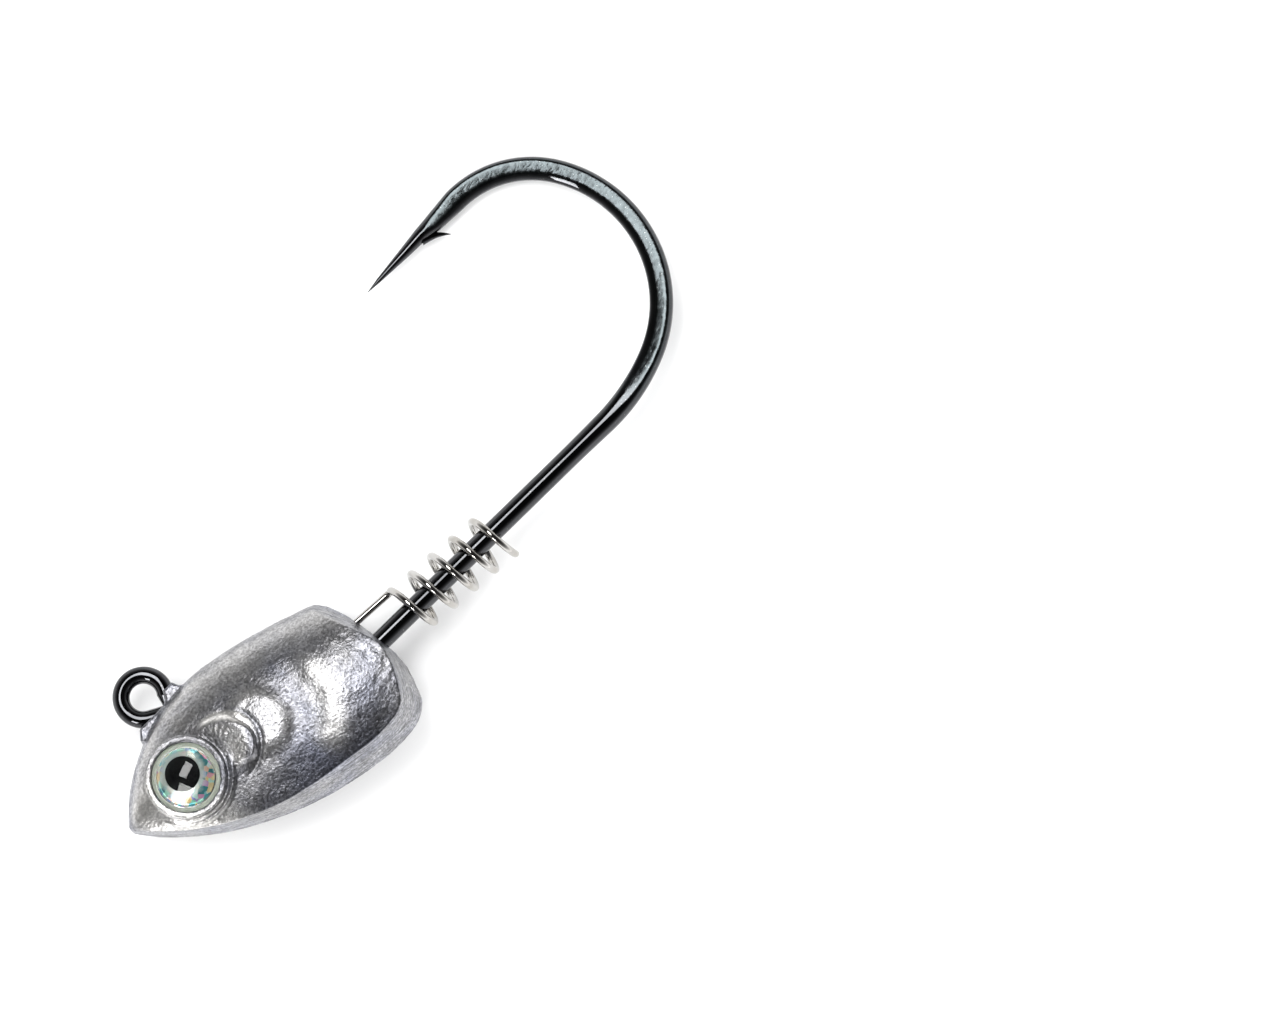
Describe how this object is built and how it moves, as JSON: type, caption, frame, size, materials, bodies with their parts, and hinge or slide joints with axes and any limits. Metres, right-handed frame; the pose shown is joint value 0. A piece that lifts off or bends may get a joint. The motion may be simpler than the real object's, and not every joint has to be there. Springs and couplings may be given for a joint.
{
  "type": "jig head",
  "caption": "Cast lead fish-head jig on a barbed jig hook, with domed eyes and a wire screw keeper behind the head for a soft bait.",
  "frame": {"origin": "centre of the line eye, in the plane of the hook", "axes": "+X from the nose along the shank towards the hook's bend, +Y towards the dorsal line and the hook's point, +Z out of the fish's left flank, square to the plane of the hook"},
  "size_m": [0.0798, 0.0367, 0.012],
  "materials": {
    "lead": "satin",
    "hook_wire": "polished",
    "keeper_wire": "polished",
    "eye_backing": "satin",
    "eye_foil": "gloss",
    "eye_pupil": "gloss",
    "eye_dome": "gloss"
  },
  "bodies": {
    "root": {"lead_head": "lead", "hook": "hook_wire", "keeper_coil": "keeper_wire", "left_eye_backing": "eye_backing", "left_eye_foil": "eye_foil", "left_eye_pupil": "eye_pupil", "left_eye_dome": "eye_dome", "right_eye_backing": "eye_backing", "right_eye_foil": "eye_foil", "right_eye_pupil": "eye_pupil", "right_eye_dome": "eye_dome"}
  },
  "joints": []
}
